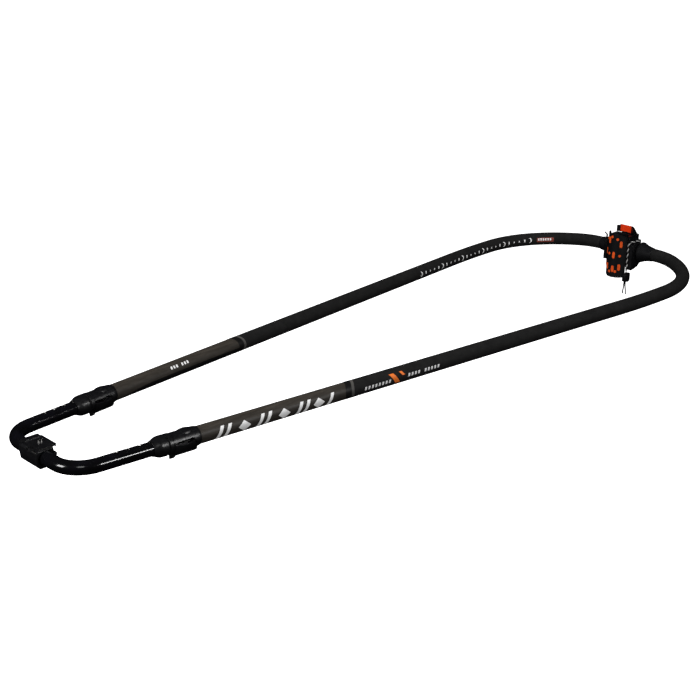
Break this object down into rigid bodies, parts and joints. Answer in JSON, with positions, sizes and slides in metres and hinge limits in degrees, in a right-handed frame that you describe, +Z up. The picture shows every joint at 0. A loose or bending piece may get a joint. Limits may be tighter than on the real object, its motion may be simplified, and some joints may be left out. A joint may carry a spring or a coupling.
{
  "type": "windsurf wishbone boom",
  "caption": "Closed wishbone boom with foam grips, telescoping tail, outhaul fitting and a hinged mast clamp head.",
  "frame": {"origin": "on the mast clamp axis, in the plane of the tube centre-lines", "axes": "+Z up along the mast, -X towards the tail, +Y towards the left arm"},
  "size_m": [1.6647, 0.5172, 0.1594],
  "materials": {
    "tube_black": "gloss black anodised",
    "grip_foam": "matte closed-cell foam",
    "printed_wrap": "satin grey-brown print",
    "black_moulding": "fine moulded texture",
    "black_rubber": "matte rubber",
    "orange_rubber": "satin orange rubber",
    "line_grey": "twisted line",
    "line_black": "braided line",
    "steel": "brushed stainless"
  },
  "bodies": {
    "head": {"head_housing": "black_moulding", "saddle_liner": "black_rubber", "belt_hinge_pin": "steel", "head_lever_pin": "steel", "head_screws": "steel", "line_cleat": "black_moulding"},
    "belt": {"mast_belt": "black_rubber", "belt_pads": "orange_rubber", "belt_line": "line_grey", "line_tab": "black_moulding", "line_end_front": "line_black", "line_end_rear": "line_black"},
    "head_lever": {"head_lever": "black_moulding", "lever_insert": "orange_rubber"},
    "left_arm": {"left_front_tube": "tube_black", "left_grip": "grip_foam", "left_printed_sleeve": "printed_wrap", "left_cuff": "black_moulding", "left_clamp_collar": "black_moulding", "left_clamp_body": "black_moulding", "left_clamp_pin": "steel"},
    "left_clamp_lever": {"left_clamp_lever": "black_moulding", "left_lock_pin": "steel"},
    "right_arm": {"right_front_tube": "tube_black", "right_grip": "grip_foam", "right_printed_sleeve": "printed_wrap", "right_cuff": "black_moulding", "right_clamp_collar": "black_moulding", "right_clamp_body": "black_moulding", "right_clamp_pin": "steel"},
    "right_clamp_lever": {"right_clamp_lever": "black_moulding", "right_lock_pin": "steel"},
    "left_extension": {"left_extension_tube": "tube_black", "left_end_bushing": "black_moulding", "tail_block": "black_moulding", "tail_plate": "black_moulding", "tail_screw": "steel", "sheave_pins": "steel", "line_pin": "steel"},
    "right_extension": {"right_extension_tube": "tube_black", "right_end_bushing": "black_moulding"},
    "left_sheave": {"left_sheave": "black_moulding"},
    "right_sheave": {"right_sheave": "black_moulding"}
  },
  "joints": [
    {"name": "left_extension_slide", "type": "slide", "parent": "left_arm", "child": "left_extension", "axis": [-0.9937, -0.1119, 0], "range_m": [0, 0.6]},
    {"name": "right_extension_slide", "type": "slide", "parent": "right_arm", "child": "right_extension", "axis": [-0.9937, 0.1119, 0], "range_m": [0, 0.6]},
    {"name": "left_arm_spread", "type": "hinge", "parent": "head", "child": "left_arm", "pos_m": [0.0405, 0, 0], "axis": [0, 0, -1], "range_deg": [0, 1.83]},
    {"name": "right_arm_spread", "type": "hinge", "parent": "head", "child": "right_arm", "pos_m": [0.0405, 0, 0], "axis": [0, 0, 1], "range_deg": [0, 1.83]},
    {"name": "left_clamp_lever_hinge", "type": "hinge", "parent": "left_arm", "child": "left_clamp_lever", "pos_m": [-1.4144, 0.11255, -0.0196], "axis": [-0.1119, 0.9937, 0], "range_deg": [0, 95]},
    {"name": "right_clamp_lever_hinge", "type": "hinge", "parent": "right_arm", "child": "right_clamp_lever", "pos_m": [-1.4144, -0.11255, -0.0196], "axis": [0.1119, 0.9937, 0], "range_deg": [0, 95]},
    {"name": "mast_belt_hinge", "type": "hinge", "parent": "head", "child": "belt", "pos_m": [0, 0.0345, 0], "axis": [0, 0, -1], "range_deg": [0, 100]},
    {"name": "head_lever_hinge", "type": "hinge", "parent": "head", "child": "head_lever", "pos_m": [0.047, 0, 0.036], "axis": [0, 1, 0], "range_deg": [0, 110]},
    {"name": "left_sheave_spin", "type": "hinge", "parent": "left_extension", "child": "left_sheave", "pos_m": [-1.5667, 0.012, 0.008], "axis": [0, 0, 1], "continuous": true},
    {"name": "right_sheave_spin", "type": "hinge", "parent": "left_extension", "child": "right_sheave", "pos_m": [-1.5667, -0.012, 0.008], "axis": [0, 0, 1], "continuous": true}
  ],
  "couplings": [
    {"joint": "right_extension_slide", "follows": "left_extension_slide", "ratio": 1},
    {"joint": "left_arm_spread", "follows": "left_extension_slide", "rad_per_m": 0.0527},
    {"joint": "right_arm_spread", "follows": "left_extension_slide", "rad_per_m": 0.0527}
  ]
}
